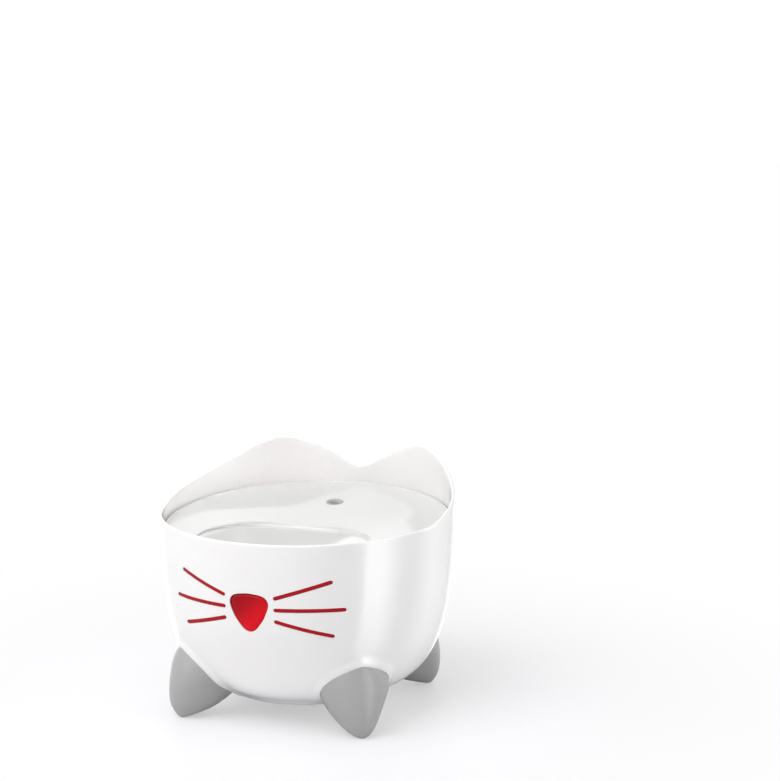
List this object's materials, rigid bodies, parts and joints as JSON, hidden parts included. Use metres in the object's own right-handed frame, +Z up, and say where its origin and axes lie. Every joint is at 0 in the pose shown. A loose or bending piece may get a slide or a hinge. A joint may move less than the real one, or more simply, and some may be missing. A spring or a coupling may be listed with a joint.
{
  "type": "pet water fountain",
  "caption": "Round pet water fountain shaped like a cat's head: white tank with ears, lift-out grey drinking dish, red nose light and whiskers, pointed grey feet, pump and filter inside.",
  "frame": {"origin": "on the floor, under the centre of the tank", "axes": "+Z up, the nose faces -Y, +X to the right of someone who looks at the nose"},
  "size_m": [0.2, 0.1999, 0.1663],
  "materials": {
    "shell_white": "gloss",
    "dish_grey": "gloss",
    "foot_grey": "satin",
    "nose_red": "gloss",
    "whisker_red": "satin",
    "seal_rubber": "matte",
    "ring_white": "satin",
    "pod_grey": "matte",
    "board_green": "satin",
    "led_red": "gloss",
    "screw_steel": "satin",
    "lead_black": "satin",
    "tray_grey": "satin",
    "foam_blue": "open-cell foam",
    "carbon_black": "granules in fleece",
    "cap_white": "satin",
    "pump_dark": "satin",
    "regulator_grey": "satin",
    "rotor_ivory": "satin",
    "shaft_ceramic": "polished"
  },
  "bodies": {
    "tank": {"outer_shell": "shell_white", "foot_front_left": "foot_grey", "foot_front_right": "foot_grey", "foot_rear_left": "foot_grey", "foot_rear_right": "foot_grey", "foot_screws": "screw_steel", "nose_lens": "nose_red", "nose_gasket": "seal_rubber", "whisker_left_upper": "whisker_red", "whisker_left_middle": "whisker_red", "whisker_left_lower": "whisker_red", "whisker_right_upper": "whisker_red", "whisker_right_middle": "whisker_red", "whisker_right_lower": "whisker_red", "indicator_housing": "pod_grey", "indicator_board": "board_green", "indicator_led": "led_red", "indicator_screws": "screw_steel", "level_probes": "screw_steel", "indicator_lead": "lead_black", "cord_gland": "seal_rubber", "riser_tube": "cap_white", "pump_body": "pump_dark", "impeller_housing": "pump_dark", "intake_cover": "pump_dark", "impeller_shaft": "shaft_ceramic", "shaft_bushes": "seal_rubber", "suction_cups": "seal_rubber"},
    "dish": {"drinking_dish": "dish_grey", "spout_ring": "ring_white"},
    "filter": {"filter_tray": "tray_grey", "filter_foam": "foam_blue", "filter_carbon": "carbon_black", "filter_cap": "cap_white"},
    "rotor": {"impeller": "rotor_ivory"},
    "regulator": {"flow_regulator": "regulator_grey"}
  },
  "joints": [
    {"name": "dish_lift", "type": "slide", "parent": "tank", "child": "dish", "axis": [0, 0, 1], "range_m": [0, 0.16]},
    {"name": "filter_pull", "type": "slide", "parent": "dish", "child": "filter", "axis": [0, 0, -1], "range_m": [0, 0.04]},
    {"name": "impeller_spin", "type": "hinge", "parent": "tank", "child": "rotor", "pos_m": [0, 0.045, 0.038], "axis": [0, 1, 0], "continuous": true},
    {"name": "regulator_slide", "type": "slide", "parent": "tank", "child": "regulator", "axis": [1, 0, 0], "range_m": [0, 0.005]}
  ]
}
